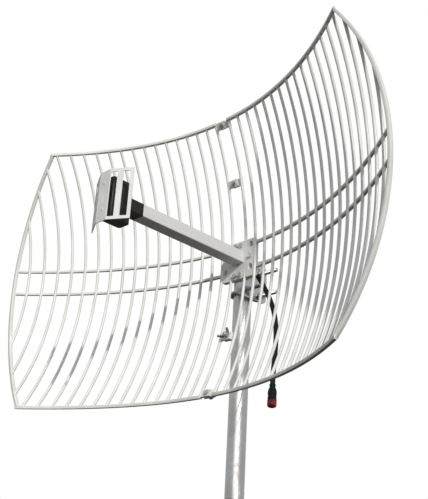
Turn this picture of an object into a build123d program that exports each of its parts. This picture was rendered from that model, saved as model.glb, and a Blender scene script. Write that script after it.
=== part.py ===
from build123d import *
from math import cos, sin, tan, atan2, degrees, hypot, radians, sqrt, pi
import os

os.makedirs("parts", exist_ok=True)

# Parabolic grid antenna on a short mast.
# Laid out from the dish's vertex: +X right, +Y back towards the mast, +Z up, and the dish looks along -Y.
# The last step of save() moves it all, so that the centre of the mast's foot is the origin.

# ---- Reflector ----
FOCAL = 305.0                 # focal length of the dish
CORNER_LIFT = 7.66e-10        # extra forward reach of the corners, per x squared times z squared
ROD_D = 6.0
ROD_PITCH = 27.0
FIRST_ROD_X = 18.5            # half of the gap between the two inner rods
ROD_COUNT = 18                # on each half
HALF_HEIGHT = 297.0           # centre of the top and bottom bars
RIM_X = 502.0                 # the side bar's widest point
RIM_CORNER_X = 404.0          # the side bar's ends
BAR_HEIGHT = 6.0
EDGE_DEPTH = 7.2
EDGE_FRONT = 3.3              # edge bars start this far in front of the rods' centre lines
RIB_DEPTH = 7.2               # ribs start at the rods' centre lines
RIB_Z = 27.0                  # the two ribs are this far above and below the boom
ROD_END_INSET = 3.0           # rods stop this far inside the edge bars' outer faces

# ---- Hub webs ----
WEB_X0 = 1.0
WEB_X1 = 44.0
WEB_Z0, WEB_Z1 = -46.0, 36.0    # from the boom's axis
WEB_FRONT_Y = -3.5             # the webs cover the two inner rods
WEB_BACK_Y = 7.0
WINDOW_X = 34.0
WINDOW_Z = 24.5
WINDOW_W = 11.0
WINDOW_H = 13.0

# ---- Seam lugs and their fasteners ----
SEAM_Z = (291.0, 170.0, -167.0, -291.0)
WING_NUT_Z = -167.0
LUG_HEIGHT = 16.0
LUG_THICK = 4.0
LUG_REACH = 9.0               # how far each lug passes the centre line
LUG_FRONT = 1.5               # the left lugs' front faces, ahead of the rods' centre lines
M6, M6_HOLE, M6_FLATS, M6_HEAD, M6_NUT = 6.0, 6.6, 10.0, 4.0, 5.0
M6_WASHER_D, M6_WASHER_T = 12.0, 1.6
THREAD_GAP = 0.05

# ---- Boom and feed, laid out about the boom's own axis ----
BOOM_Z = 5.0                  # the boom, hub webs and ribs sit this far above the reflector's middle
BOOM_W, BOOM_H, BOOM_WALL = 30.0, 25.0, 2.0
BOOM_FRONT_Y = -277.0
NECK_FRONT_Y = -306.0
SPIGOT = 22.0
FIT = 0.05
COAX_D = 10.0
COAX_X = 5.0
HOUSING_FRONT_Y = -352.0
HOUSING_SPLIT_Y = -331.0
HOUSING_W, HOUSING_H, HOUSING_WALL = 29.0, 80.0, 2.2
INNER_COAX_FRONT_Y = -318.0
SHEET = 1.6
FACET_Y = -361.0              # front of the sub-reflector's middle facet
FACET_HALF_W = 14.0
WING_END_X = 53.0
WING_END_Y = -338.5
SUB_HALF_H = 50.5
SLOT_HALF_H = 44.5
SLOT_SPANS = ((1.5, 14.0), (25.0, 38.5))    # along the wing from the bend
M4, M4_HOLE, M4_HEAD_D, M4_HEAD = 4.0, 4.3, 6.0, 0.6
SPACER_D = 8.0
SPACER_Z = 26.0
PLUG_FRONT_Y = -28.0
M5, M5_HOLE, M5_HEAD_D, M5_HEAD = 5.0, 5.5, 8.5, 5.0
ROOT_SCREW_X = -8.0
ROOT_SCREW_Z = 6.0

# ---- Mast, U-bolts and tilt bracket ----
MAST_D, MAST_WALL = 38.0, 2.0
MAST_X, MAST_Y = -42.5, 60.0
MAST_FOOT_Z, MAST_TOP_Z = -466.0, 24.0
U_BOLT_Z = (1.0, -48.0)
U_ROD = 8.0
U_RADIUS = 23.5
U_TIP_X = 31.0
JAW_THICK = 14.0
JAW_HALF_LENGTH = 31.0
JAW_HEIGHT = 16.0
FACE_GAP = 0.1
PLATE_X = -17.5               # the upright web's face against the jaws
STEEL = 4.0
PLATE_BACK_Y = 102.0
PLATE_Z0, PLATE_Z1 = -62.0, 22.0
FLANGE_X1 = 42.0
FLANGE_HALF_Z = 40.0
TILT_REACH = 18.0             # degrees each way
SLOT_WIDTH = 9.0
M8, M8_FLATS, M8_NUT, M8_WASHER_D, M8_WASHER_T = 8.0, 13.0, 6.5, 17.0, 1.6
HUB_BOLTS = ((-7.4, 27.0), (7.4, 27.0), (32.0, -1.0), (-7.4, -38.0), (7.4, -38.0))

# ---- Cable: its route from the gland's mouth to the connector ----
CABLE_ROUTE = (
    (20.0, 18.5, -12.0), (36.0, 18.5, -34.9), (51.0, 18.8, -58.4), (65.0, 19.3, -82.6),
    (76.5, 20.2, -108.2), (83.5, 21.2, -135.4), (86.0, 21.8, -163.3), (85.6, 21.8, -191.3),
    (83.8, 21.2, -218.6), (82.0, 20.2, -244.0), (81.8, 20.0, -266.0),
)
OUTLET_SIZE = (14.5, 14.0, 22.0)
GLAND_LENGTH = 8.0
GLAND_D0, GLAND_D1 = 13.0, 11.5
FERRULE_D, FERRULE_L = 12.5, 8.0
SLEEVE_D, SLEEVE_L = 17.0, 22.0
THREAD_D, THREAD_BORE, THREAD_L = 15.6, 8.6, 10.0
CAP_D, CAP_L, CAP_BORE_L = 18.0, 15.0, 11.0
CAP_CLEARANCE = 0.1
PIN_D, PIN_L = 3.0, 8.0

SHIFT = Location((-MAST_X, -MAST_Y, -MAST_FOOT_Z))
TILT_CENTRE = (MAST_Y, (U_BOLT_Z[0] + U_BOLT_Z[1]) / 2)


def save(node, shapes):
    """Writes one node; several solids stay separate inside it."""
    solids = shapes if isinstance(shapes, list) else [shapes]
    group = Compound([solid for shape in solids for solid in shape.solids()])
    export_step(group.moved(SHIFT), f"parts/{node}.step")


def save_halves(node, right_shapes):
    """Writes a right-hand node and its mirror image on the left."""
    save(f"right_{node}", right_shapes)
    save(f"left_{node}", [mirror(shape, about=Plane.YZ) for shape in right_shapes])


def block(x0, x1, y0, y1, z0, z1):
    """A box given by its lowest and highest corners."""
    centre = ((x0 + x1) / 2, (y0 + y1) / 2, (z0 + z1) / 2)
    return Pos(*centre) * Box(x1 - x0, y1 - y0, z1 - z0)


def cylinder_along(start, direction, diameter, length):
    """A round bar from a point along a direction."""
    return Plane(origin=start, z_dir=direction) * extrude(Circle(diameter / 2), length)


def hexagon(flats, height):
    return extrude(RegularPolygon(flats / 2, 6, major_radius=False), height)


def bolt(diameter, flats, head, grip):
    """A hex bolt: its head stands on the local XY plane and its shank hangs below."""
    return hexagon(flats, head) + extrude(Circle(diameter / 2), -grip)


def nut(diameter, flats, height):
    return hexagon(flats, height) - extrude(Circle(diameter / 2 + THREAD_GAP), height)


def washer(diameter, outer, thick):
    return extrude(Circle(outer / 2) - Circle(diameter / 2 + THREAD_GAP), thick)


# ---------------------------------------------------------------- reflector

def dish_y(x, z):
    """Depth of the rods' centre lines: a paraboloid with slightly raised corners."""
    return -(x * x + z * z) / (4 * FOCAL) - CORNER_LIFT * x * x * z * z


def side_bar_path():
    """The side bar's centre line: one arc through both corners and the widest point."""
    centre = EDGE_DEPTH / 2 - EDGE_FRONT
    corner_y = dish_y(RIM_CORNER_X, HALF_HEIGHT) + centre
    return ThreePointArc(
        (RIM_CORNER_X, corner_y, -HALF_HEIGHT),
        (RIM_X, dish_y(RIM_X, 0) + centre, 0),
        (RIM_CORNER_X, corner_y, HALF_HEIGHT),
    )


def rim_reach(x):
    """Height at which an upright at this x meets the side bar."""
    sagitta = RIM_X - RIM_CORNER_X
    radius = (sagitta ** 2 + HALF_HEIGHT ** 2) / (2 * sagitta)
    return sqrt(radius ** 2 - (x - RIM_X + radius) ** 2)


def level_bar(z, x0, x1, front_y, depth):
    """A bar at one height, curved as the dish is, whose front is at front_y from the rods' centre lines."""
    bend = -1 / (4 * FOCAL) - CORNER_LIFT * z * z
    middle_y = dish_y(x0, z) + bend * x0 * (x1 - x0)
    front = Bezier((x0, dish_y(x0, z)), ((x0 + x1) / 2, middle_y), (x1, dish_y(x1, z)))
    front = front.moved(Location((0, front_y, 0)))
    back = front.moved(Location((0, depth, 0)))
    outline = make_face([front, Line(front @ 1, back @ 1), back, Line(back @ 0, front @ 0)])
    return Pos(0, 0, z - BAR_HEIGHT / 2) * extrude(outline, BAR_HEIGHT)


def edge_frame():
    path = side_bar_path()
    section = Plane(origin=path @ 0, x_dir=(0, 1, 0), z_dir=path % 0) * Rectangle(EDGE_DEPTH, BAR_HEIGHT)
    frame = sweep(section, path=path)
    inner_end = FIRST_ROD_X - ROD_D / 2
    for z in (-HALF_HEIGHT, HALF_HEIGHT):
        frame += level_bar(z, inner_end, RIM_CORNER_X + BAR_HEIGHT / 2, -EDGE_FRONT, EDGE_DEPTH)
    return frame


def rod(x, reach):
    path = ThreePointArc(
        (x, dish_y(x, reach), -reach), (x, dish_y(x, 0), 0), (x, dish_y(x, reach), reach)
    )
    return sweep(Plane(origin=path @ 0, z_dir=path % 0) * Circle(ROD_D / 2), path=path)


def rods():
    made = []
    for index in range(ROD_COUNT):
        x = FIRST_ROD_X + index * ROD_PITCH
        reach = HALF_HEIGHT + BAR_HEIGHT / 2 - ROD_END_INSET
        if x > RIM_CORNER_X:
            reach = rim_reach(x) - ROD_END_INSET / 2
        made.append(rod(x, reach))
    return made


def hub_window(x, z):
    """A window with a pitched top."""
    low, high = z - WINDOW_H / 2, z + WINDOW_H / 2
    half = WINDOW_W / 2
    outline = Polygon(
        (x - half, low), (x + half, low), (x + half, z + 1), (x + 2, high), (x - 2, high), (x - half, z + 1),
        align=None,
    )
    return Plane.XZ.offset(-WEB_FRONT_Y) * extrude(outline, WEB_FRONT_Y - WEB_BACK_Y)


def hub_web(side):
    """The right web as cast; side picks which of the hub bolts pass through it."""
    web = block(WEB_X0, WEB_X1, WEB_FRONT_Y, WEB_BACK_Y, WEB_Z0, WEB_Z1)
    web = fillet(web.edges().filter_by(Axis.Y).group_by(Axis.X)[-1], 4)
    web -= block(0, BOOM_W / 2 + 0.3, WEB_FRONT_Y, WEB_BACK_Y, -BOOM_H / 2 - 0.3, BOOM_H / 2 + 0.3)
    for z in (-WINDOW_Z, WINDOW_Z):
        web -= hub_window(WINDOW_X, z)
    for x, z in HUB_BOLTS:
        if x * side > 0:
            web -= cylinder_along((abs(x), WEB_FRONT_Y, z), (0, 1, 0), M6_HOLE, WEB_BACK_Y - WEB_FRONT_Y)
    return web


save_halves("edge_frame", [edge_frame()])
save_halves("grid_rods", rods())
save_halves("ribs", [level_bar(BOOM_Z + z, WEB_X1, RIM_X - 1, 0, RIB_DEPTH) for z in (-RIB_Z, RIB_Z)])
lift = Pos(0, 0, BOOM_Z)
save("right_hub_web", lift * hub_web(1))
save("left_hub_web", lift * mirror(hub_web(-1), about=Plane.YZ))


# ---------------------------------------------------------------- seam lugs

def seam_plane(z):
    """Local Z points to the front, square to the dish, and local X to the right."""
    y = dish_y(FIRST_ROD_X, z)
    return Plane(origin=(0, y, z), x_dir=(1, 0, 0), z_dir=(0, -1, -z / (2 * FOCAL)))


def seam_lug(side, front):
    """A flat tab from an inner rod to just past the centre line."""
    x0, x1 = (-LUG_REACH, FIRST_ROD_X) if side > 0 else (-FIRST_ROD_X, LUG_REACH)
    half = LUG_HEIGHT / 2
    tab = block(x0, x1, -half, half, front - LUG_THICK, front)
    return tab - Pos(0, 0, front) * extrude(Circle(M6_HOLE / 2), -LUG_THICK)


def wing_nut():
    hub = extrude(Circle(5.5), 8)
    wing = Plane.XZ.offset(-1.25) * extrude(
        make_face(Polyline((3, 1), (9, 3), (14, 12), (13, 15), (9, 14.5), (3, 6), close=True)), 2.5
    )
    body = hub + wing + mirror(wing, about=Plane.YZ)
    return body - extrude(Circle(M6 / 2 + THREAD_GAP), 8)


seam_bolts, seam_washers, seam_nuts, left_lugs, right_lugs = [], [], [], [], []
grip = 2 * LUG_THICK + M6_WASHER_T + M6_NUT + 2
for z in SEAM_Z:
    plane = seam_plane(z)
    front = LUG_FRONT
    back = front - 2 * LUG_THICK
    left_lugs.append(plane * seam_lug(-1, front))
    right_lugs.append(plane * seam_lug(1, front - LUG_THICK))
    if z == WING_NUT_Z:
        turned = plane * Pos(0, 0, back) * Rot(180, 0, 0)
        seam_bolts.append(turned * bolt(M6, M6_FLATS, M6_HEAD, grip + 3))
        seam_washers.append(plane * Pos(0, 0, front) * washer(M6, M6_WASHER_D, M6_WASHER_T))
        save("seam_wing_nut", plane * Pos(0, 0, front + M6_WASHER_T) * Rot(0, 0, 35) * wing_nut())
    else:
        seam_bolts.append(plane * Pos(0, 0, front) * bolt(M6, M6_FLATS, M6_HEAD, grip))
        seam_washers.append(plane * Pos(0, 0, back - M6_WASHER_T) * washer(M6, M6_WASHER_D, M6_WASHER_T))
        seam_nuts.append(plane * Pos(0, 0, back - M6_WASHER_T - M6_NUT) * nut(M6, M6_FLATS, M6_NUT))
save("left_seam_lugs", left_lugs)
save("right_seam_lugs", right_lugs)
save("seam_bolts", seam_bolts)
save("seam_washers", seam_washers)
save("seam_nuts", seam_nuts)


# ---------------------------------------------------------------- boom and feed

FLANGE_Y = WEB_BACK_Y                       # the bracket flange's front face
half_w, half_h = BOOM_W / 2, BOOM_H / 2
bore_w, bore_h = half_w - BOOM_WALL, half_h - BOOM_WALL


def lead_hole(y0, y1, clearance=0.2):
    return cylinder_along((COAX_X, y0, 0), (0, 1, 0), COAX_D + 2 * clearance, y1 - y0)


boom = block(-half_w, half_w, BOOM_FRONT_Y, FLANGE_Y, -half_h, half_h)
boom = fillet(boom.edges().filter_by(Axis.Y), 1.5)
boom -= block(-bore_w, bore_w, BOOM_FRONT_Y, FLANGE_Y, -bore_h, bore_h)
save("boom_tube", lift * boom)

plug = block(-bore_w + FIT, bore_w - FIT, PLUG_FRONT_Y, FLANGE_Y, -bore_h + FIT, bore_h - FIT)
plug -= lead_hole(PLUG_FRONT_Y, FLANGE_Y)
root_screws = []
for z in (-ROOT_SCREW_Z, ROOT_SCREW_Z):
    depth = 22.0
    plug -= cylinder_along((ROOT_SCREW_X, FLANGE_Y - depth, z), (0, 1, 0), M5 + 2 * FIT, depth)
    back = FLANGE_Y + STEEL
    head = cylinder_along((ROOT_SCREW_X, back, z), (0, 1, 0), M5_HEAD_D, M5_HEAD)
    head -= Plane(origin=(ROOT_SCREW_X, back + 2, z), z_dir=(0, 1, 0)) * hexagon(4, 4)
    root_screws.append(head + cylinder_along((ROOT_SCREW_X, back, z), (0, -1, 0), M5, STEEL + depth - 2))
save("boom_root_plug", lift * plug)
save("boom_root_screws", [lift * screw for screw in root_screws])

neck = block(-half_w, half_w, NECK_FRONT_Y, BOOM_FRONT_Y, -half_h, half_h)
neck = fillet(neck.edges().filter_by(Axis.Y), 1.5)
neck += block(-bore_w + FIT, bore_w - FIT, BOOM_FRONT_Y, BOOM_FRONT_Y + SPIGOT, -bore_h + FIT, bore_h - FIT)
neck -= lead_hole(NECK_FRONT_Y, BOOM_FRONT_Y + SPIGOT)
save("feed_neck", lift * neck)
save("inner_coax", lift * cylinder_along((COAX_X, INNER_COAX_FRONT_Y, 0), (0, 1, 0), COAX_D, 13 - INNER_COAX_FRONT_Y))


def housing_shell(y0, y1, open_y):
    """Half of the feed housing: a rounded box, open towards open_y."""
    half_x, half_z = HOUSING_W / 2, HOUSING_H / 2
    shell = block(-half_x, half_x, y0, y1, -half_z, half_z)
    shell = fillet(shell.edges().filter_by(Axis.Z).group_by(Axis.Y)[-1 if open_y < y1 else 0], 4)
    inner_y0 = y0 if open_y == y0 else y0 + HOUSING_WALL
    inner_y1 = y1 if open_y == y1 else y1 - HOUSING_WALL
    wall = HOUSING_WALL
    return shell - block(-half_x + wall, half_x - wall, inner_y0, inner_y1, -half_z + wall, half_z - wall)


rear_shell = housing_shell(HOUSING_SPLIT_Y, NECK_FRONT_Y, HOUSING_SPLIT_Y)
rear_shell -= lead_hole(NECK_FRONT_Y - HOUSING_WALL, NECK_FRONT_Y)
front_shell = housing_shell(HOUSING_FRONT_Y, HOUSING_SPLIT_Y, HOUSING_SPLIT_Y)
for z in (-SPACER_Z, SPACER_Z):
    front_shell -= cylinder_along((0, HOUSING_FRONT_Y, z), (0, 1, 0), M4_HOLE, HOUSING_WALL)
save("feed_housing_rear", lift * rear_shell)
save("feed_housing_front", lift * front_shell)

board_x1 = -1.5
board_half_z = HOUSING_H / 2 - HOUSING_WALL
save("dipole_board", lift * block(board_x1 - SHEET, board_x1, -346, -311, -board_half_z, board_half_z))
strip_x = board_x1 - SHEET
save("dipole_elements", [lift * block(strip_x - 0.6, strip_x, -334, -330, z, z + 30) for z in (-33, 3)])


def sub_reflector():
    """Sheet bent into three facets, its wings slotted."""
    turn = atan2(WING_END_Y - FACET_Y, WING_END_X - FACET_HALF_W)
    inner_bend_x = FACET_HALF_W - SHEET * tan(turn / 2)
    right = [
        (FACET_HALF_W, FACET_Y), (WING_END_X, WING_END_Y),
        (WING_END_X - SHEET * sin(turn), WING_END_Y + SHEET * cos(turn)), (inner_bend_x, FACET_Y + SHEET),
    ]
    left = [(-x, y) for x, y in reversed(right)]
    section = make_face(Polyline(*right, *left, close=True))
    sheet = Pos(0, 0, -SUB_HALF_H) * extrude(section, 2 * SUB_HALF_H)
    wing = Plane(
        origin=(FACET_HALF_W, FACET_Y, 0), x_dir=(cos(turn), sin(turn), 0), z_dir=(sin(turn), -cos(turn), 0)
    )
    for start, end in SLOT_SPANS:
        slot = wing * block(start, end, -SLOT_HALF_H, SLOT_HALF_H, -4 * SHEET, 2 * SHEET)
        sheet -= slot
        sheet -= mirror(slot, about=Plane.YZ)
    for z in (-SPACER_Z, SPACER_Z):
        sheet -= cylinder_along((0, FACET_Y, z), (0, 1, 0), M4_HOLE, SHEET)
    return sheet


save("sub_reflector", lift * sub_reflector())
spacers, feed_screws = [], []
for z in (-SPACER_Z, SPACER_Z):
    start = (0, FACET_Y + SHEET, z)
    length = HOUSING_FRONT_Y - FACET_Y - SHEET
    spacers.append(cylinder_along(start, (0, 1, 0), SPACER_D, length)
                   - cylinder_along(start, (0, 1, 0), M4_HOLE, length))
    shank = cylinder_along((0, FACET_Y, z), (0, 1, 0), M4, HOUSING_FRONT_Y - FACET_Y + 6)
    feed_screws.append(cylinder_along((0, FACET_Y, z), (0, -1, 0), M4_HEAD_D, M4_HEAD) + shank)
save("sub_reflector_spacers", [lift * spacer for spacer in spacers])
save("sub_reflector_screws", [lift * screw for screw in feed_screws])


# ---------------------------------------------------------------- tilt bracket and its bolts

def tilt_bracket():
    """Folded angle: a flange behind the hub webs and an upright web with four arc slots."""
    flange = block(PLATE_X, FLANGE_X1, FLANGE_Y, FLANGE_Y + STEEL, -FLANGE_HALF_Z, FLANGE_HALF_Z)
    flange = fillet(flange.edges().filter_by(Axis.Y).group_by(Axis.X)[-1], 6)
    upright = block(PLATE_X, PLATE_X + STEEL, FLANGE_Y, PLATE_BACK_Y, PLATE_Z0, PLATE_Z1)
    upright = fillet(upright.edges().filter_by(Axis.X).group_by(Axis.Y)[-1], 12)
    leg_angle = degrees(atan2(U_BOLT_Z[0] - TILT_CENTRE[1], U_RADIUS))
    leg_radius = hypot(U_RADIUS, U_BOLT_Z[0] - TILT_CENTRE[1])
    for middle in (leg_angle, 180 - leg_angle, 180 + leg_angle, -leg_angle):
        arc = CenterArc(TILT_CENTRE, leg_radius, middle - TILT_REACH, 2 * TILT_REACH)
        slot = Plane.YZ.offset(PLATE_X) * extrude(SlotArc(arc, SLOT_WIDTH), STEEL)
        upright -= slot
    bracket = flange + upright
    bracket -= lift * lead_hole(FLANGE_Y, FLANGE_Y + STEEL, 0.5)
    for x, z in HUB_BOLTS:
        bracket -= lift * cylinder_along((x, FLANGE_Y, z), (0, 1, 0), M6_HOLE, STEEL)
    for z in (-ROOT_SCREW_Z, ROOT_SCREW_Z):
        bracket -= lift * cylinder_along((ROOT_SCREW_X, FLANGE_Y, z), (0, 1, 0), M5_HOLE, STEEL)
    return bracket


save("tilt_bracket", tilt_bracket())
hub_bolts, hub_washers, hub_nuts = [], [], []
flange_back = FLANGE_Y + STEEL
for x, z in HUB_BOLTS:
    front_plane = Plane(origin=(x, WEB_FRONT_Y, z + BOOM_Z), x_dir=(1, 0, 0), z_dir=(0, -1, 0))
    hub_grip = flange_back - WEB_FRONT_Y + M6_WASHER_T + M6_NUT + 1
    hub_bolts.append(front_plane * bolt(M6, M6_FLATS, M6_HEAD, hub_grip))
    back_plane = Plane(origin=(x, flange_back, z + BOOM_Z), x_dir=(1, 0, 0), z_dir=(0, 1, 0))
    hub_washers.append(back_plane * washer(M6, M6_WASHER_D, M6_WASHER_T))
    hub_nuts.append(back_plane * Pos(0, 0, M6_WASHER_T) * nut(M6, M6_FLATS, M6_NUT))
save("hub_bolts", hub_bolts)
save("hub_washers", hub_washers)
save("hub_nuts", hub_nuts)


# ---------------------------------------------------------------- mast and its clamps

def jaw(z):
    """A block with a wide V notch that bears on the mast, drilled for the U-bolt's legs."""
    right = PLATE_X - FACE_GAP
    left = right - JAW_THICK
    body = block(left, right, MAST_Y - JAW_HALF_LENGTH, MAST_Y + JAW_HALF_LENGTH,
                 z - JAW_HEIGHT / 2, z + JAW_HEIGHT / 2)
    body = fillet(body.edges().filter_by(Axis.Z), 2)
    apex = MAST_X + (MAST_D / 2 + FIT) / sin(radians(60))
    mouth = (apex - left + 1) * tan(radians(60))
    notch = make_face(Polyline((apex, MAST_Y), (left - 1, MAST_Y + mouth), (left - 1, MAST_Y - mouth), close=True))
    body -= Pos(0, 0, z - JAW_HEIGHT / 2) * extrude(notch, JAW_HEIGHT)
    for y in (MAST_Y - U_RADIUS, MAST_Y + U_RADIUS):
        body -= cylinder_along((left, y, z), (1, 0, 0), U_ROD + 0.6, JAW_THICK)
    return body


def u_bolt(z):
    near, far = MAST_Y - U_RADIUS, MAST_Y + U_RADIUS
    path = Wire([
        Line((U_TIP_X, near, z), (MAST_X, near, z)),
        ThreePointArc((MAST_X, near, z), (MAST_X - U_RADIUS, MAST_Y, z), (MAST_X, far, z)),
        Line((MAST_X, far, z), (U_TIP_X, far, z)),
    ])
    return sweep(Plane(origin=(U_TIP_X, near, z), z_dir=(-1, 0, 0)) * Circle(U_ROD / 2), path=path)


clamp_washers, clamp_nuts = [], []
clamp_face = PLATE_X + STEEL + FACE_GAP
for z in U_BOLT_Z:
    for y in (MAST_Y - U_RADIUS, MAST_Y + U_RADIUS):
        plane = Plane(origin=(clamp_face, y, z), x_dir=(0, 1, 0), z_dir=(1, 0, 0))
        clamp_washers.append(plane * washer(M8, M8_WASHER_D, M8_WASHER_T))
        clamp_nuts.append(plane * Pos(0, 0, M8_WASHER_T) * nut(M8, M8_FLATS, M8_NUT))
save("mast_jaws", [jaw(z) for z in U_BOLT_Z])
save("u_bolts", [u_bolt(z) for z in U_BOLT_Z])
save("u_bolt_washers", clamp_washers)
save("u_bolt_nuts", clamp_nuts)

mast_height = MAST_TOP_Z - MAST_FOOT_Z
save("mast_pipe", Pos(MAST_X, MAST_Y, MAST_FOOT_Z) * extrude(
    Circle(MAST_D / 2) - Circle(MAST_D / 2 - MAST_WALL), mast_height))


# ---------------------------------------------------------------- cable, connector and cap

def bend_radii(points):
    """Each bend's radius: 0.45 of the shorter run beside it, over the tangent of half the turn."""
    radii = []
    for before, here, after in zip(points, points[1:], points[2:]):
        run_in, run_out = here - before, after - here
        turn = radians(run_in.get_angle(run_out))
        radii.append(0.45 * min(run_in.length, run_out.length) / tan(turn / 2))
    return radii


route = [Vector(*point) for point in CABLE_ROUTE]
radii = bend_radii(route)
cable_path = FilletPolyline(*route, radius=radii)
cable = sweep(Plane(origin=route[0], z_dir=cable_path % 0) * Circle(COAX_D / 2), path=cable_path)
print("cable bend radii:", [round(radius) for radius in radii])
print("cable length:", round(cable_path.length, 1), "volume over section times length:",
      round(cable.volume / (pi * COAX_D ** 2 / 4 * cable_path.length), 4))
save("coax_cable", cable)

exit_way = (route[1] - route[0]).normalized()
gland_start = route[0] - exit_way * GLAND_LENGTH
gland = loft([
    Plane(origin=gland_start, z_dir=exit_way) * Circle(GLAND_D0 / 2),
    Plane(origin=route[0], z_dir=exit_way) * Circle(GLAND_D1 / 2),
])
save("cable_gland", gland)

outlet_w, outlet_d, outlet_h = OUTLET_SIZE
outlet = lift * block(-3.5, outlet_w - 3.5, flange_back, flange_back + outlet_d, -outlet_h / 2, outlet_h / 2)
outlet = fillet(outlet.edges().filter_by(Axis.Y), 2)
boss_length = 10.0
outlet += cylinder_along(gland_start - exit_way * boss_length, exit_way, GLAND_D0, boss_length)
outlet -= lift * lead_hole(flange_back, 13)
save("cable_outlet", outlet)

down = (route[-1] - route[-2]).normalized()
ferrule_end = route[-1] + down * FERRULE_L
sleeve_end = ferrule_end + down * SLEEVE_L
save("connector_ferrule", cylinder_along(route[-1], down, FERRULE_D, FERRULE_L))
sleeve = cylinder_along(ferrule_end, down, SLEEVE_D, SLEEVE_L)
save("connector_sleeve", sleeve)
thread = cylinder_along(sleeve_end, down, THREAD_D, THREAD_L)
thread -= cylinder_along(sleeve_end, down, THREAD_BORE, THREAD_L)
save("connector_thread", thread)
save("connector_pin", cylinder_along(sleeve_end, down, PIN_D, PIN_L))
cap = cylinder_along(sleeve_end, down, CAP_D, CAP_L)
cap = fillet(cap.edges().sort_by(Axis.Z)[0], 5)
cap -= cylinder_along(sleeve_end, down, THREAD_D + 2 * CAP_CLEARANCE, CAP_BORE_L)
save("dust_cap", cap)
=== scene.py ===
import bmesh
import bpy
from math import cos, pi, radians, sin
from mathutils import Matrix, Vector


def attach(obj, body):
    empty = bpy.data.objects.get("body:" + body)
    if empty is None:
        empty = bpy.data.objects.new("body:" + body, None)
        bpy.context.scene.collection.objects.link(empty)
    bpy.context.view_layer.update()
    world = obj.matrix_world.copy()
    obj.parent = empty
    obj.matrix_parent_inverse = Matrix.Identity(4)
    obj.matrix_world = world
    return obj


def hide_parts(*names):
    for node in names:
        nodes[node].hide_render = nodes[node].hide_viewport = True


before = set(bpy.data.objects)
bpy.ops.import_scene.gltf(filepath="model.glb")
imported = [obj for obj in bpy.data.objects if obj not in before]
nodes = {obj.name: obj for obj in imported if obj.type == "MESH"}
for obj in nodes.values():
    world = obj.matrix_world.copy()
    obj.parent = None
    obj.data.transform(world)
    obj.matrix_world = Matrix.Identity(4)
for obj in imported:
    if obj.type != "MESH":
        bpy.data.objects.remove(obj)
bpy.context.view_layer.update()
scene = bpy.context.scene

# ------------------------------------------------------------------ view
# A long lens a little below the dish, so that the dish is seen against the sky and the mast
# runs out of view below. Directions are the lens's right, up and backwards.
camera_data = bpy.data.cameras.new("camera")
camera_data.sensor_fit = "HORIZONTAL"
camera_data.sensor_width = 36
camera_data.lens = 74.1
camera_data.clip_start = 0.05
camera_data.clip_end = 50
camera = bpy.data.objects.new("camera", camera_data)
lens_right = Vector((0.71878, 0.69331, 0.05171))
lens_up = Vector((0.24255, -0.31978, 0.91592))
lens_back = lens_right.cross(lens_up)
camera.matrix_world = Matrix.Translation((1.1886, -1.27035, -0.23367)) @ Matrix(
    (lens_right, lens_up, lens_back)).transposed().to_4x4()
scene.collection.objects.link(camera)
scene.camera = camera
scene.view_settings.view_transform = "Standard"

# ------------------------------------------------------------------ light and floor
# A white studio: a small strong lamp, far off to the right and a little above, throws the boom's
# shadow on the left half. A wide soft one fills from the same side. Below it is dim and warm.


def wire(tree, *pairs):
    """Links each pair's output socket to its input socket."""
    for source, target in pairs:
        tree.links.new(source, target)


world = bpy.data.worlds.new("studio")
world.use_nodes = True
scene.world = world
tree = world.node_tree
tree.nodes.clear()
direction = tree.nodes.new("ShaderNodeTexCoord")
height = tree.nodes.new("ShaderNodeSeparateXYZ")
halfway = tree.nodes.new("ShaderNodeMapRange")
halfway.inputs["From Min"].default_value = -1
ramp = tree.nodes.new("ShaderNodeValToRGB")
ramp.color_ramp.elements[0].position = 0.36
ramp.color_ramp.elements[0].color = (0.06, 0.05, 0.04, 1)
ramp.color_ramp.elements[1].position = 0.66
ramp.color_ramp.elements[1].color = (0.70, 0.73, 0.78, 1)
horizon = ramp.color_ramp.elements.new(0.50)
horizon.color = (0.60, 0.59, 0.57, 1)
surround = tree.nodes.new("ShaderNodeBackground")
surround.inputs["Strength"].default_value = 0.62
backdrop = tree.nodes.new("ShaderNodeBackground")
backdrop.inputs["Color"].default_value = (1, 1, 1, 1)
ray = tree.nodes.new("ShaderNodeLightPath")
choose = tree.nodes.new("ShaderNodeMixShader")
world_out = tree.nodes.new("ShaderNodeOutputWorld")
wire(tree,
     (direction.outputs["Generated"], height.inputs[0]),
     (height.outputs["Z"], halfway.inputs["Value"]),
     (halfway.outputs[0], ramp.inputs[0]),
     (ramp.outputs[0], surround.inputs["Color"]),
     (ray.outputs["Is Camera Ray"], choose.inputs[0]),
     (surround.outputs[0], choose.inputs[1]),
     (backdrop.outputs[0], choose.inputs[2]),
     (choose.outputs[0], world_out.inputs[0]))

for label, energy, spread_angle, toward in (
        ("key", 1.95, 1.5, (0.80, -0.42, 0.42)),
        ("fill", 1.15, 55, (0.78, -0.62, 0.04))):
    lamp_data = bpy.data.lights.new(label, "SUN")
    lamp_data.energy = energy
    lamp_data.angle = radians(spread_angle)
    lamp_data.color = (1, 0.985, 0.955)
    lamp = bpy.data.objects.new(label, lamp_data)
    lamp.rotation_mode = "QUATERNION"
    lamp.rotation_quaternion = Vector(toward).to_track_quat("Z", "Y")
    scene.collection.objects.link(lamp)

FLOOR_REACH = 14
FLOOR_DROP = 0.0005     # keeps the floor clear of the mast's cut end
floor_mesh = bpy.data.meshes.new("floor")
bm = bmesh.new()
bmesh.ops.create_grid(bm, x_segments=1, y_segments=1, size=FLOOR_REACH)
bm.to_mesh(floor_mesh)
bm.free()
floor = bpy.data.objects.new("floor", floor_mesh)
floor.location.z = -FLOOR_DROP
scene.collection.objects.link(floor)

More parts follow.
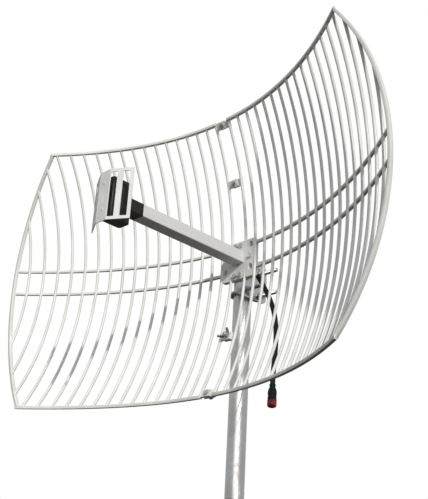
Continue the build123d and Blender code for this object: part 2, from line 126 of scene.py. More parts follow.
# Clear from below, pale to the eye from above, and dark to the light that falls back on the dish.
floor_paint = bpy.data.materials.new("floor_paint")
floor_paint.use_nodes = True
tree = floor_paint.node_tree
floor_face = tree.nodes["Principled BSDF"]
floor_face.inputs["Roughness"].default_value = 0.8
side = tree.nodes.new("ShaderNodeNewGeometry")
clear = tree.nodes.new("ShaderNodeBsdfTransparent")
one_sided = tree.nodes.new("ShaderNodeMixShader")
seen = tree.nodes.new("ShaderNodeLightPath")
pale = tree.nodes.new("ShaderNodeMix")
pale.data_type = "RGBA"
pale.inputs["A"].default_value = (0.035, 0.030, 0.024, 1)
pale.inputs["B"].default_value = (0.78, 0.78, 0.77, 1)
wire(tree,
     (seen.outputs["Is Camera Ray"], pale.inputs["Factor"]),
     (pale.outputs["Result"], floor_face.inputs["Base Color"]),
     (side.outputs["Backfacing"], one_sided.inputs[0]),
     (floor_face.outputs[0], one_sided.inputs[1]),
     (clear.outputs[0], one_sided.inputs[2]),
     (one_sided.outputs[0], tree.nodes["Material Output"].inputs[0]))
floor_mesh.materials.append(floor_paint)

# ------------------------------------------------------------------ reflector grid
# Two halves, each die cast in aluminium with its rods, edge bars, ribs, hub web and lugs in one
# piece, and powder coated off-white. The coat has a fine orange-peel skin and a little grey dirt.


def shader_group(name, inputs, outputs):
    """An empty node group with float inputs and the named outputs, and its two end nodes."""
    group = bpy.data.node_groups.new(name, "ShaderNodeTree")
    for label, value in inputs.items():
        socket = group.interface.new_socket(label, in_out="INPUT", socket_type="NodeSocketFloat")
        socket.default_value = value
    for label, kind in outputs.items():
        group.interface.new_socket(label, in_out="OUTPUT", socket_type=f"NodeSocket{kind}")
    return group, group.nodes.new("NodeGroupInput"), group.nodes.new("NodeGroupOutput")


def finish_material(name, colour, roughness, metallic=0.0):
    """A material with a Principled shader, and that shader."""
    material = bpy.data.materials.new(name)
    material.use_nodes = True
    shader = material.node_tree.nodes["Principled BSDF"]
    shader.inputs["Base Color"].default_value = (*colour, 1)
    shader.inputs["Roughness"].default_value = roughness
    shader.inputs["Metallic"].default_value = metallic
    return material, shader


def use_group(material, group, **values):
    """A group node in the material, with its sockets set by name."""
    node = material.node_tree.nodes.new("ShaderNodeGroup")
    node.node_tree = group
    for label, value in values.items():
        node.inputs[label.replace("_", " ")].default_value = value
    return node


def tint(material, shader, mask, first, second):
    """Base Color runs from one colour to the other as the mask goes from 0 to 1."""
    mix = material.node_tree.nodes.new("ShaderNodeMix")
    mix.data_type = "RGBA"
    mix.inputs["A"].default_value = (*first, 1)
    mix.inputs["B"].default_value = (*second, 1)
    wire(material.node_tree,
         (mask, mix.inputs["Factor"]),
         (mix.outputs["Result"], shader.inputs["Base Color"]))
    return mix


def spread(material, socket, mask, low, high):
    """A shader value runs from low to high as the mask goes from 0 to 1."""
    remap = material.node_tree.nodes.new("ShaderNodeMapRange")
    remap.inputs["To Min"].default_value = low
    remap.inputs["To Max"].default_value = high
    wire(material.node_tree, (mask, remap.inputs["Value"]), (remap.outputs[0], socket))


# Blotches and a fine skin: Blotch is a soft mask, and Normal carries the skin.
skin, skin_in, skin_out = shader_group(
    "skin", {"Blotch Scale": 20, "Skin Scale": 900, "Skin Depth": 0.0001},
    {"Blotch": "Float", "Normal": "Vector"})
place = skin.nodes.new("ShaderNodeTexCoord")
blotch = skin.nodes.new("ShaderNodeTexNoise")
blotch.inputs["Detail"].default_value = 5
blotch_range = skin.nodes.new("ShaderNodeMapRange")
blotch_range.inputs["From Min"].default_value = 0.35
blotch_range.inputs["From Max"].default_value = 0.65
grain = skin.nodes.new("ShaderNodeTexNoise")
grain.inputs["Detail"].default_value = 2
relief = skin.nodes.new("ShaderNodeBump")
relief.inputs["Strength"].default_value = 1
wire(skin,
     (place.outputs["Object"], blotch.inputs["Vector"]),
     (place.outputs["Object"], grain.inputs["Vector"]),
     (skin_in.outputs["Blotch Scale"], blotch.inputs["Scale"]),
     (skin_in.outputs["Skin Scale"], grain.inputs["Scale"]),
     (skin_in.outputs["Skin Depth"], relief.inputs["Distance"]),
     (blotch.outputs["Fac"], blotch_range.inputs["Value"]),
     (grain.outputs["Fac"], relief.inputs["Height"]),
     (blotch_range.outputs[0], skin_out.inputs["Blotch"]),
     (relief.outputs[0], skin_out.inputs["Normal"]))


def coated(name, first, second, rough, blotch_scale, skin_scale=0, skin_depth=0.0,
           metallic=0.0, specular=0.5):
    """A material whose colour and roughness run between pairs over blotches, under a fine skin."""
    material, shader = finish_material(name, second, rough[1], metallic)
    shader.inputs["Specular IOR Level"].default_value = specular
    coat = use_group(material, skin, Blotch_Scale=blotch_scale)
    tint(material, shader, coat.outputs["Blotch"], first, second)
    spread(material, shader.inputs["Roughness"], coat.outputs["Blotch"], *rough)
    if skin_depth:
        coat.inputs["Skin Scale"].default_value = skin_scale
        coat.inputs["Skin Depth"].default_value = skin_depth
        wire(material.node_tree, (coat.outputs["Normal"], shader.inputs["Normal"]))
    return material


def dress(material, *names):
    """Gives CAD nodes a material in place of their plain one."""
    for name in names:
        slots = nodes[name].data.materials
        slots.clear()
        slots.append(material)


def round_edges(thing, width):
    """A bevel on every edge that turns by more than 40 degrees."""
    rounding = thing.modifiers.new("edges", "BEVEL")
    rounding.width = width
    rounding.segments = 2
    rounding.limit_method = "ANGLE"
    rounding.angle_limit = radians(40)
    return rounding


def soften(width, *names):
    """Rounds the outer edges of CAD nodes, as casting, folding or moulding leaves them."""
    for name in names:
        weld = nodes[name].modifiers.new("weld", "WELD")
        weld.merge_threshold = 0.00001
        round_edges(nodes[name], width).harden_normals = True


grid_coat = coated("grid_coat", (0.72, 0.715, 0.69), (0.84, 0.835, 0.81), (0.5, 0.36),
                   blotch_scale=14, skin_scale=1400, skin_depth=0.00012)
for half in ("left", "right"):
    dress(grid_coat, *(f"{half}_{part}" for part in (
        "edge_frame", "grid_rods", "ribs", "hub_web", "seam_lugs")))
    soften(0.0009, f"{half}_edge_frame", f"{half}_ribs")
    soften(0.0006, f"{half}_hub_web", f"{half}_seam_lugs")

# ------------------------------------------------------------------ coaxial lead
# Low-loss coaxial cable, 10 mm across, with a smooth black PVC jacket. It leaves the gland behind
# the hub, bends over under its own weight and hangs to its connector.
VERTEX_X, VERTEX_Y, VERTEX_Z = 42.5, -60, 466   # the dish's vertex from the mast's foot, in mm


def at(x, y, z):
    """Millimetres from the dish's vertex, as metres from the mast's foot."""
    return Vector((x + VERTEX_X, y + VERTEX_Y, z + VERTEX_Z)) / 1000


lead_route = [at(*point) for point in (
    (20.0, 18.5, -12.0), (36.0, 18.5, -34.9), (51.0, 18.8, -58.4), (65.0, 19.3, -82.6),
    (76.5, 20.2, -108.2), (83.5, 21.2, -135.4), (86.0, 21.8, -163.3), (85.6, 21.8, -191.3),
    (83.8, 21.2, -218.6), (82.0, 20.2, -244.0), (81.8, 20.0, -266.0))]
lead_curve = bpy.data.curves.new("coax_lead", "CURVE")
lead_curve.dimensions = "3D"
lead_curve.resolution_u = 12
lead_curve.bevel_depth = 0.005
lead_curve.bevel_resolution = 5
spline = lead_curve.splines.new("NURBS")
spline.points.add(len(lead_route) - 1)
for point, here in zip(spline.points, lead_route):
    point.co = (*here, 1)
spline.order_u = 3
spline.use_endpoint_u = True
lead = bpy.data.objects.new("coax_lead", lead_curve)
scene.collection.objects.link(lead)
jacket = coated("cable_jacket", (0.010, 0.010, 0.011), (0.022, 0.021, 0.021), (0.3, 0.48),
                blotch_scale=60, skin_scale=700, skin_depth=0.00008, specular=0.3)
lead_curve.materials.append(jacket)
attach(lead, "antenna")
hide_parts("coax_cable")
dress(jacket, "inner_coax")

# ------------------------------------------------------------------ connector and cap
# A crimped N-type jack: its ferrule and boot are covered in shrunk black sleeve, and under the
# cap is a threaded nickel barrel with a gold pin. The soft red cap is pushed over the thread and
# pulls off downwards.
mm = 0.001
SNAP = 1e-7             # vertices nearer than this are one, in metres


def lathe(profile, segments=48):
    """Turns (radius, height) points in mm about local Z; a point at radius 0 closes an end."""
    bm = bmesh.new()
    ring = [bm.verts.new((radius * mm, 0, height * mm)) for radius, height in profile]
    for first, second in zip(ring, ring[1:]):
        bm.edges.new((first, second))
    bmesh.ops.spin(bm, geom=bm.verts[:] + bm.edges[:], axis=(0, 0, 1), cent=(0, 0, 0),
                   angle=2 * pi, steps=segments, use_merge=True, use_duplicate=False)
    bmesh.ops.remove_doubles(bm, verts=bm.verts, dist=SNAP)
    bmesh.ops.recalc_face_normals(bm, faces=bm.faces)
    return bm


def pose(origin, direction, turn=0.0):
    """Local Z along a direction, turned about it."""
    aimed = Vector(direction).to_track_quat("Z", "Y").to_matrix().to_4x4()
    return Matrix.Translation(origin) @ aimed @ Matrix.Rotation(turn, 4, "Z")


def piece(name, bm, material, body, stands_for=(), bevel=0.0, smooth=35):
    """Makes an object of the bmesh, with its material, body and slot, in place of its CAD nodes."""
    mesh = bpy.data.meshes.new(name)
    bm.to_mesh(mesh)
    bm.free()
    mesh.materials.append(material)
    made = bpy.data.objects.new(name, mesh)
    scene.collection.objects.link(made)
    if bevel:
        round_edges(made, bevel)
    for face in mesh.polygons:
        face.use_smooth = True
    mesh.set_sharp_from_angle(angle=radians(smooth))
    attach(made, body)
    if stands_for:
        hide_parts(*stands_for)


def placed(bm, matrix):
    """Moves a whole bmesh, and gives it back."""
    bmesh.ops.transform(bm, matrix=matrix, verts=bm.verts)
    return bm


CRIMP_LENGTH, BOOT_LENGTH = 8, 22
down = (lead_route[-1] - lead_route[-2]).normalized()
lead_end = lead_route[-1]
sleeve_rubber = coated("shrink_sleeve", (0.010, 0.010, 0.011), (0.030, 0.029, 0.029), (0.42, 0.6),
                       blotch_scale=120, skin_scale=500, skin_depth=0.0003, specular=0.3)
ferrule = lathe([(0, 0), (5.9, 0), (6.2, 0.5), (6.2, 2), (5.7, 2.4), (5.7, 6), (6.2, 6.4),
                 (6.2, CRIMP_LENGTH), (0, CRIMP_LENGTH)])
piece("connector_crimp", placed(ferrule, pose(lead_end, down)), sleeve_rubber, "antenna",
      ["connector_ferrule"])
sleeve_start = lead_end + down * CRIMP_LENGTH * mm
sleeve = lathe([(0, 0), (6.6, 0), (7.3, 0.8), (7.7, 3), (8.5, 5), (8.5, 12), (8.1, 13.2),
                (8.1, 15.5), (8.5, 16.6), (8.5, 21), (8.0, BOOT_LENGTH), (0, BOOT_LENGTH)])
piece("connector_boot", placed(sleeve, pose(sleeve_start, down)), sleeve_rubber, "antenna",
      ["connector_sleeve"])

sleeve_end = sleeve_start + down * BOOT_LENGTH * mm
nickel = coated("nickel", (0.56, 0.54, 0.50), (0.72, 0.70, 0.66), (0.2, 0.36),
                blotch_scale=90, metallic=1)
crests = [(7.8 if step % 2 else 7.1, 0.8 + 0.55 * step) for step in range(16)]
barrel = lathe([(4.3, 0), (7.1, 0)] + crests
               + [(7.0, 9.7), (6.8, 10), (4.6, 10), (4.3, 9.7), (4.3, 0)])
piece("connector_barrel", placed(barrel, pose(sleeve_end, down)), nickel, "antenna",
      ["connector_thread"])
gold = coated("gold_plate", (0.80, 0.54, 0.18), (0.94, 0.68, 0.28), (0.2, 0.2),
              blotch_scale=400, metallic=1)
pin = lathe([(0, 0), (1.5, 0), (1.5, 6.6), (1.2, 7.6), (0.5, 8), (0, 8)], 24)
piece("connector_contact", placed(pin, pose(sleeve_end, down)), gold, "antenna",
      ["connector_pin"])

cap_rubber = coated("cap_red", (0.22, 0.010, 0.012), (0.32, 0.018, 0.018), (0.3, 0.45),
                    blotch_scale=90, skin_scale=900, skin_depth=0.00006)
dome = [(9 * cos(a) ** 0.8, 9.5 + 5.4 * sin(a)) for a in (radians(d) for d in range(0, 90, 9))]
cap = lathe([(7.9, 11), (7.9, 0.4), (8.2, 0), (8.8, 0), (9, 0.3), (9, 1.8), (8.7, 2.2),
             (8.7, 3.6), (9, 4.2)] + dome + [(0, 14.95)])
bmesh.ops.holes_fill(cap, edges=[edge for edge in cap.edges if edge.is_boundary])
bmesh.ops.recalc_face_normals(cap, faces=cap.faces)
piece("connector_cap", placed(cap, pose(sleeve_end, down)), cap_rubber, "cap",
      ["dust_cap"])

# ------------------------------------------------------------------ boom
# A rectangular aluminium tube, drawn and lacquered light grey. Its die lines run along it.
lines_group, lines_in, lines_out = shader_group(
    "draw_lines", {"Across": 600, "Along": 8, "Depth": 0.00002},
    {"Line": "Float", "Normal": "Vector"})
place = lines_group.nodes.new("ShaderNodeTexCoord")
stretch = lines_group.nodes.new("ShaderNodeCombineXYZ")
scaled = lines_group.nodes.new("ShaderNodeVectorMath")
scaled.operation = "MULTIPLY"
streak = lines_group.nodes.new("ShaderNodeTexNoise")
streak.inputs["Scale"].default_value = 1
streak.inputs["Detail"].default_value = 4
relief = lines_group.nodes.new("ShaderNodeBump")
wire(lines_group,
     (lines_in.outputs["Across"], stretch.inputs["X"]),
     (lines_in.outputs["Along"], stretch.inputs["Y"]),
     (lines_in.outputs["Across"], stretch.inputs["Z"]),
     (place.outputs["Object"], scaled.inputs[0]),
     (stretch.outputs[0], scaled.inputs[1]),
     (scaled.outputs[0], streak.inputs["Vector"]),
     (streak.outputs["Fac"], relief.inputs["Height"]),
     (lines_in.outputs["Depth"], relief.inputs["Distance"]),
     (streak.outputs["Fac"], lines_out.inputs["Line"]),
     (relief.outputs[0], lines_out.inputs["Normal"]))
boom_coat, shader = finish_material("boom_coat", (0.70, 0.70, 0.69), 0.35)
drawn = use_group(boom_coat, lines_group, Across=700, Along=6, Depth=0.00003)
tint(boom_coat, shader, drawn.outputs["Line"], (0.60, 0.60, 0.59), (0.78, 0.78, 0.77))
spread(boom_coat, shader.inputs["Roughness"], drawn.outputs["Line"], 0.28, 0.45)
wire(boom_coat.node_tree, (drawn.outputs["Normal"], shader.inputs["Normal"]))
dress(boom_coat, "boom_tube")
soften(0.0008, "boom_tube")

# ------------------------------------------------------------------ feed
# The dipole's housing and its neck are moulded in black, lightly grained plastic that plugs into
# the boom. Inside are a laminate board with its copper dipole.
feed_black = coated("feed_black", (0.012, 0.011, 0.010), (0.026, 0.024, 0.021), (0.36, 0.5),
                    blotch_scale=40, skin_scale=1200, skin_depth=0.0002, specular=0.32)
dress(feed_black, "feed_neck", "feed_housing_rear", "feed_housing_front")
soften(0.0010, "feed_neck", "feed_housing_rear", "feed_housing_front")

laminate = coated("laminate", (0.09, 0.20, 0.07), (0.13, 0.27, 0.10), (0.4, 0.4), blotch_scale=60)
copper = coated("copper", (0.62, 0.32, 0.20), (0.84, 0.46, 0.30), (0.3, 0.3),
                blotch_scale=120, metallic=1)
dress(laminate, "dipole_board")
dress(copper, "dipole_elements")

# ------------------------------------------------------------------ sub-reflector
# Aluminium sheet, punched with two slots in each wing, folded twice and painted white.
sheet_white = coated("sheet_white", (0.78, 0.78, 0.77), (0.88, 0.88, 0.87), (0.42, 0.3),
                     blotch_scale=30, skin_scale=1400, skin_depth=0.00008)
dress(sheet_white, "sub_reflector")

# ------------------------------------------------------------------ mast and tilt bracket
# Hot-dip galvanised steel: a 38 mm pipe and a folded plate with four arc slots. The zinc has
# dried in spangles, and has dulled where it has weathered.
spangle, spangle_in, spangle_out = shader_group(
    "spangle", {"Crystal Scale": 90, "Stain Scale": 12, "Depth": 0.00003},
    {"Crystal": "Float", "Stain": "Float", "Normal": "Vector"})
place = spangle.nodes.new("ShaderNodeTexCoord")
crystal = spangle.nodes.new("ShaderNodeTexVoronoi")
shade = spangle.nodes.new("ShaderNodeSeparateColor")
stain = spangle.nodes.new("ShaderNodeTexNoise")
stain.inputs["Detail"].default_value = 6
stain_range = spangle.nodes.new("ShaderNodeMapRange")
stain_range.inputs["From Min"].default_value = 0.4
stain_range.inputs["From Max"].default_value = 0.65
relief = spangle.nodes.new("ShaderNodeBump")
wire(spangle,
     (place.outputs["Object"], crystal.inputs["Vector"]),
     (place.outputs["Object"], stain.inputs["Vector"]),
     (spangle_in.outputs["Crystal Scale"], crystal.inputs["Scale"]),
     (spangle_in.outputs["Stain Scale"], stain.inputs["Scale"]),
     (spangle_in.outputs["Depth"], relief.inputs["Distance"]),
     (crystal.outputs["Color"], shade.inputs[0]),
     (stain.outputs["Fac"], stain_range.inputs["Value"]),
     (shade.outputs[0], relief.inputs["Height"]),
     (shade.outputs[0], spangle_out.inputs["Crystal"]),
     (stain_range.outputs[0], spangle_out.inputs["Stain"]),
     (relief.outputs[0], spangle_out.inputs["Normal"]))


def zinc_finish(name, dull, bright, stained, rough, metallic=0.85):
    """Zinc whose crystals run from dull to bright under patches of stain."""
    material, shader = finish_material(name, bright, rough, metallic)
    zinc = use_group(material, spangle, Crystal_Scale=130, Stain_Scale=14, Depth=0.00003)
    crystals = tint(material, shader, zinc.outputs["Crystal"], dull, bright)
    patches = tint(material, shader, zinc.outputs["Stain"], bright, stained)
    spread(material, shader.inputs["Roughness"], zinc.outputs["Crystal"], rough - 0.08, rough + 0.1)
    wire(material.node_tree,
         (crystals.outputs["Result"], patches.inputs["A"]),
         (zinc.outputs["Normal"], shader.inputs["Normal"]))
    return material


galvanised = zinc_finish("galvanised", (0.82, 0.82, 0.81), (0.95, 0.95, 0.94),
                         (0.80, 0.79, 0.76), 0.38, 1.0)
dress(galvanised, "tilt_bracket")
soften(0.0006, "tilt_bracket")
cast_grey = zinc_finish("jaw_casting", (0.46, 0.46, 0.46), (0.58, 0.58, 0.58),
                        (0.40, 0.40, 0.39), 0.55)
dress(cast_grey, "mast_jaws", "boom_root_plug")
soften(0.0012, "mast_jaws")
zinc_plate = zinc_finish("zinc_plate", (0.62, 0.63, 0.64), (0.78, 0.79, 0.80),
                         (0.55, 0.54, 0.50), 0.3)
MAST_BORE_R, MAST_R, MAST_LENGTH, CUT_EDGE = 17, 19, 490, 0.4
pipe = lathe([(MAST_BORE_R, CUT_EDGE), (MAST_BORE_R + CUT_EDGE, 0), (MAST_R - CUT_EDGE, 0),
              (MAST_R, CUT_EDGE), (MAST_R, MAST_LENGTH - CUT_EDGE),
              (MAST_R - CUT_EDGE, MAST_LENGTH), (MAST_BORE_R + CUT_EDGE, MAST_LENGTH),
              (MAST_BORE_R, MAST_LENGTH - CUT_EDGE), (MAST_BORE_R, CUT_EDGE)], 72)
piece("mast_tube", pipe, galvanised, "mast", ["mast_pipe"])

# ------------------------------------------------------------------ bolts, nuts and washers
# Zinc-plated hex bolts with rolled threads: M6 through the seam lugs and the hub, and socket-head
# M5 into the boom's root. Corners of heads and nuts are chamfered as they are when turned.


def hexagon_bar(flats, height, bore=0.0, both_ends=False):
    """A turned bar milled to a hexagon, so one end or both have round chamfers; in mm."""
    corner, shoulder = 0.57 * flats, 0.48 * flats   # a little inside the corners and the flats
    drop = 0.55 * (corner - shoulder)
    foot = [(bore, 0), (shoulder, 0), (corner, drop)] if both_ends else [(bore, 0), (corner, 0)]
    head = [(corner, height - drop), (shoulder, height), (bore, height)]
    bm = lathe(foot + head + ([(bore, 0)] if bore else []), 36)
    for side in range(6):
        outward = Vector((cos(side * pi / 3), sin(side * pi / 3), 0))
        cut = bmesh.ops.bisect_plane(
            bm, geom=bm.verts[:] + bm.edges[:] + bm.faces[:], dist=SNAP,
            plane_co=outward * (flats * mm / 2), plane_no=outward, clear_outer=True)
        rim = [part for part in cut["geom_cut"] if isinstance(part, bmesh.types.BMEdge)]
        bmesh.ops.edgenet_fill(bm, edges=rim)
    bmesh.ops.recalc_face_normals(bm, faces=bm.faces)
    return bm


def threaded_rod(diameter, pitch, length, segments=20):
    """A rod hung from the XY plane, whose rolled thread is one spun helix; in mm."""
    bm = bmesh.new()
    crest, root = diameter / 2, diameter / 2 - 0.55 * pitch
    turns = int(length / pitch) + 3                 # spare turns at both ends are cut off
    start = -length - 1.5 * pitch
    tooth = [bm.verts.new((radius * mm, 0, (start + rise) * mm))
             for radius, rise in ((root, 0), (crest, pitch / 2), (root, pitch))]
    for low, high in zip(tooth, tooth[1:]):
        bm.edges.new((low, high))
    bmesh.ops.spin(bm, geom=bm.verts[:] + bm.edges[:], axis=(0, 0, 1), cent=(0, 0, 0),
                   angle=2 * pi * turns, steps=segments * turns,
                   dvec=(0, 0, pitch * mm / segments), use_duplicate=False)
    bmesh.ops.remove_doubles(bm, verts=bm.verts, dist=1e-6)
    for height, way in ((0, 1), (-length * mm, -1)):
        bmesh.ops.bisect_plane(bm, geom=bm.verts[:] + bm.edges[:] + bm.faces[:], dist=SNAP,
                               plane_co=(0, 0, height), plane_no=(0, 0, way), clear_outer=True)
    bmesh.ops.holes_fill(bm, edges=[edge for edge in bm.edges if edge.is_boundary])
    bmesh.ops.recalc_face_normals(bm, faces=bm.faces)
    return bm


def add(bm, part, matrix):
    """Moves another bmesh into place and adds it to this one."""
    placed(part, matrix)
    holder = bpy.data.meshes.new("part")
    part.to_mesh(holder)
    part.free()
    bm.from_mesh(holder)
    bpy.data.meshes.remove(holder)


WASHER = 1.6


def flat_washer(bore, outer):
    """A punched washer, its edges rolled over a little; in mm."""
    edge = 0.25
    return lathe([(bore, 0), (outer - edge, 0), (outer, edge), (outer, WASHER - edge),
                  (outer - edge, WASHER), (bore + edge, WASHER), (bore, WASHER - edge),
                  (bore, 0)], 40)


# Thread, pitch, the radii of a hole and a washer, the width of a hexagon, and heights.
M6, M6_PITCH, M6_BORE, M6_WASHER, M6_FLATS, M6_HEAD, M6_NUT = 6, 1, 3.05, 6, 10, 4, 5


def m6_bolt(bm, origin, facing, shank, turn):
    """A hex head on a point, with its threaded shank behind the point."""
    add(bm, hexagon_bar(M6_FLATS, M6_HEAD), pose(origin, facing, turn))
    add(bm, threaded_rod(M6, M6_PITCH, shank), pose(origin, facing))


def m6_washer(bm, origin, facing):
    """A washer on a point."""
    add(bm, flat_washer(M6_BORE, M6_WASHER), pose(origin, facing))


def m6_nut(bm, origin, facing, turn):
    """A hex nut on a point."""
    add(bm, hexagon_bar(M6_FLATS, M6_NUT, M6_BORE, True), pose(origin, facing, turn))


FIRST_ROD_X = 18.5              # half of the gap between the two inner rods
LUG_FRONT = 1.5                 # the front faces of the lugs, ahead of the rods' centre lines
LUG_STACK = 8                   # two lugs
WING_NUT_HEIGHT = -167
FOCAL = 305
CORNER_LIFT = 7.66e-10          # extra forward reach of the corners, per x squared z squared
front = Vector((0, -1, 0))
seam_bolts, seam_washers, seam_nuts = bmesh.new(), bmesh.new(), bmesh.new()
for height_up in (291, 170, WING_NUT_HEIGHT, -291):
    paraboloid = -(FIRST_ROD_X ** 2 + height_up ** 2) / (4 * FOCAL)
    depth = paraboloid - CORNER_LIFT * (FIRST_ROD_X * height_up) ** 2
    facing = Vector((0, -1, -height_up / (2 * FOCAL))).normalized()
    origin = at(0, depth, height_up) + facing * LUG_FRONT * mm
    behind = origin - facing * LUG_STACK * mm
    if height_up == WING_NUT_HEIGHT:
        m6_washer(seam_washers, origin, facing)
        m6_bolt(seam_bolts, behind, -facing, 19.6, 0.3)
        wing_origin = origin + facing * WASHER * mm
        wing_facing = facing
    else:
        m6_washer(seam_washers, behind, -facing)
        m6_nut(seam_nuts, behind - facing * WASHER * mm, -facing, 0.4)
        m6_bolt(seam_bolts, origin, facing, 16.6, 0.2)
piece("seam_hex_bolts", seam_bolts, zinc_plate, "antenna", ["seam_bolts"])
piece("seam_flat_washers", seam_washers, zinc_plate, "antenna",
      ["seam_washers"])
piece("seam_hex_nuts", seam_nuts, zinc_plate, "antenna", ["seam_nuts"])

WEB_FRONT, BRACKET_BACK = -3.5, 11
hub_bolts, hub_washers, hub_nuts = bmesh.new(), bmesh.new(), bmesh.new()
for x, z in ((-7.4, 32), (7.4, 32), (32, 4), (-7.4, -33), (7.4, -33)):
    m6_bolt(hub_bolts, at(x, WEB_FRONT, z), front, 22.1, x * 0.1)
    m6_washer(hub_washers, at(x, BRACKET_BACK, z), -front)
    m6_nut(hub_nuts, at(x, BRACKET_BACK + WASHER, z), -front, z * 0.05)
piece("hub_hex_bolts", hub_bolts, zinc_plate, "antenna", ["hub_bolts"])
piece("hub_flat_washers", hub_washers, zinc_plate, "antenna", ["hub_washers"])
piece("hub_hex_nuts", hub_nuts, zinc_plate, "antenna", ["hub_nuts"])

root_screws = bmesh.new()
for z in (-1, 11):
    seat = pose(at(-8, BRACKET_BACK, z), -front)
    add(root_screws, lathe([(0, 2), (1.9, 2), (2.2, 2.3), (2.2, 4.7), (2.5, 5), (3.8, 5),
                            (4.25, 4.5), (4.25, 0), (0, 0)], 36), seat)
    add(root_screws, threaded_rod(5, 0.8, 23.8), seat)
piece("boom_root_socket_screws", root_screws, zinc_plate, "antenna",
      ["boom_root_screws"])

# ------------------------------------------------------------------ wing nut
# A wing nut holds the lug below the hub, where the other lugs have hex nuts. Its turned collar
# carries two flat wings with rounded tips.
wing_nut = lathe([(3.05, 0), (5.2, 0), (5.5, 0.4), (5.3, 3.5), (4.6, 7.5), (4.2, 8), (3.4, 8),
                  (3.05, 7.7), (3.05, 0)], 36)
outline = ((3.4, 0.8), (6, 1.2), (9, 3), (11.6, 7.2), (13.8, 11.6), (14, 13.4), (13.2, 14.8),
           (11.4, 15), (9.4, 14.2), (7.2, 10.8), (4.8, 7.4), (3.4, 6.6))
WING_HALF_THICK = 1.2 * mm
for mirrored in (1, -1):
    wing = bmesh.new()
    face = wing.faces.new([wing.verts.new((mirrored * x * mm, -WING_HALF_THICK, z * mm))
                           for x, z in outline])
    grown = bmesh.ops.extrude_face_region(wing, geom=[face])["geom"]
    bmesh.ops.translate(wing, vec=(0, 2 * WING_HALF_THICK, 0),
                        verts=[part for part in grown if isinstance(part, bmesh.types.BMVert)])
    bmesh.ops.recalc_face_normals(wing, faces=wing.faces)
    add(wing_nut, wing, Matrix())
piece("wing_nut", placed(wing_nut, pose(wing_origin, wing_facing, radians(35))), zinc_plate,
      "antenna", ["seam_wing_nut"], bevel=0.5 * mm, smooth=50)

# ------------------------------------------------------------------ mast clamps
# Two M8 U-bolts go round the mast, through the V jaws and the arc slots, and are held by nuts
# on washers. Only their legs' ends are threaded.
U_BOLT_R = 23.5                 # from the mast's axis to the middle of each leg
PLAIN_LEG = 36.5                # from the mast's axis to where the thread starts
THREAD_START = PLAIN_LEG - VERTEX_X
THREAD_LENGTH = 37
M8, M8_PITCH, M8_BORE, M8_WASHER, M8_FLATS, M8_NUT = 8, 1.25, 4.05, 8.5, 13, 6.5


def u_rod(z):
    """The plain part of a U-bolt: a leg, half a turn round the mast and the other leg."""
    bm = bmesh.new()
    start = pose(at(THREAD_START, -VERTEX_Y - U_BOLT_R, z), (-1, 0, 0))
    bmesh.ops.create_circle(bm, segments=24, radius=M8 / 2 * mm, matrix=start)

    def pull(ring, by):
        grown = bmesh.ops.extrude_edge_only(bm, edges=ring)["geom"]
        bmesh.ops.translate(bm, vec=by, verts=[
            part for part in grown if isinstance(part, bmesh.types.BMVert)])
        return grown

    leg = Vector((-PLAIN_LEG * mm, 0, 0))
    ring = pull(bm.edges[:], leg)
    ring = bmesh.ops.spin(
        bm, geom=[part for part in ring if not isinstance(part, bmesh.types.BMFace)],
        axis=(0, 0, 1), cent=at(-VERTEX_X, -VERTEX_Y, z), angle=-pi, steps=32,
        use_duplicate=False)["geom_last"]
    pull([part for part in ring if isinstance(part, bmesh.types.BMEdge)], -leg)
    bmesh.ops.holes_fill(bm, edges=[edge for edge in bm.edges if edge.is_boundary])
    bmesh.ops.recalc_face_normals(bm, faces=bm.faces)
    return bm


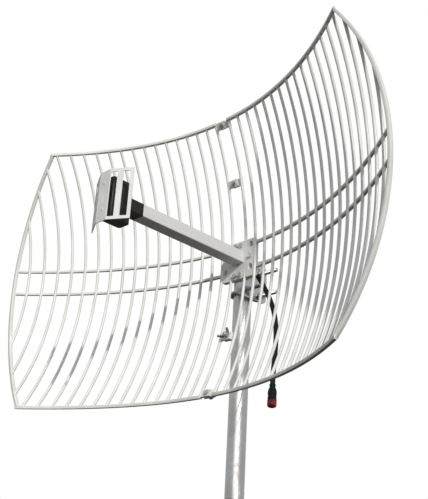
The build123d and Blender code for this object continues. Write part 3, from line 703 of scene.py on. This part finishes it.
BRACKET_WEB = -13.4
u_bolts, u_washers, u_nuts = bmesh.new(), bmesh.new(), bmesh.new()
right = Vector((1, 0, 0))
for z in (1, -48):
    add(u_bolts, u_rod(z), Matrix())
    for y in (-VERTEX_Y - U_BOLT_R, -VERTEX_Y + U_BOLT_R):
        add(u_bolts, threaded_rod(M8, M8_PITCH, THREAD_LENGTH, 24),
            pose(at(THREAD_START + THREAD_LENGTH, y, z), right))
        add(u_washers, flat_washer(M8_BORE, M8_WASHER), pose(at(BRACKET_WEB, y, z), right))
        add(u_nuts, hexagon_bar(M8_FLATS, M8_NUT, M8_BORE, True),
            pose(at(BRACKET_WEB + WASHER, y, z), right, y + z))
piece("u_bolt_rods", u_bolts, zinc_plate, "clamp", ["u_bolts"])
piece("u_bolt_flat_washers", u_washers, zinc_plate, "clamp", ["u_bolt_washers"])
piece("u_bolt_hex_nuts", u_nuts, zinc_plate, "clamp", ["u_bolt_nuts"])

# ------------------------------------------------------------------ sub-reflector fixings
# Two small screws with flat spacers stand the sub-reflector off the feed housing. Their low
# pan heads are painted over with the sheet.
HOUSING_FRONT, SHEET_FRONT = -352, -361
spacers, feed_screws = bmesh.new(), bmesh.new()
for z in (-21, 31):
    add(spacers, lathe([(2.15, 0), (3.8, 0), (4, 0.2), (4, 7.2), (3.8, 7.4), (2.15, 7.4),
                        (2.15, 0)], 32), pose(at(0, HOUSING_FRONT, z), front))
    seat = pose(at(0, SHEET_FRONT, z), front)
    add(feed_screws, lathe([(0, 0), (3, 0), (2.8, 0.25), (1.9, 0.55), (1.1, 0.6), (0.5, 0.3),
                            (0, 0.3)], 32), seat)
    add(feed_screws, threaded_rod(4, 0.7, 15), seat)
piece("sub_reflector_posts", spacers, zinc_plate, "antenna",
      ["sub_reflector_spacers"])
piece("sub_reflector_pan_screws", feed_screws, sheet_white, "antenna",
      ["sub_reflector_screws"])

# ------------------------------------------------------------------ cable outlet
# A moulded black elbow bolted behind the hub, with a gland that grips the lead.
outlet_black = coated("outlet_black", (0.010, 0.010, 0.010), (0.024, 0.024, 0.024), (0.5, 0.5),
                      blotch_scale=60, skin_scale=900, skin_depth=0.0002)
dress(outlet_black, "cable_outlet")
soften(0.0010, "cable_outlet")
GLAND_LENGTH = 8
exit_way = (lead_route[1] - lead_route[0]).normalized()
ribs = [(6.5 - 0.11 * step if step % 2 else 5.7 - 0.04 * step, 0.4 + 0.8 * step)
        for step in range(10)]
gland = lathe([(0, 0), (6.5, 0)] + ribs + [(5.6, 7.8), (5.3, GLAND_LENGTH), (0, GLAND_LENGTH)], 40)
gland_foot = lead_route[0] - exit_way * GLAND_LENGTH * mm
piece("ribbed_gland", placed(gland, pose(gland_foot, exit_way)), outlet_black, "antenna",
      ["cable_gland"])
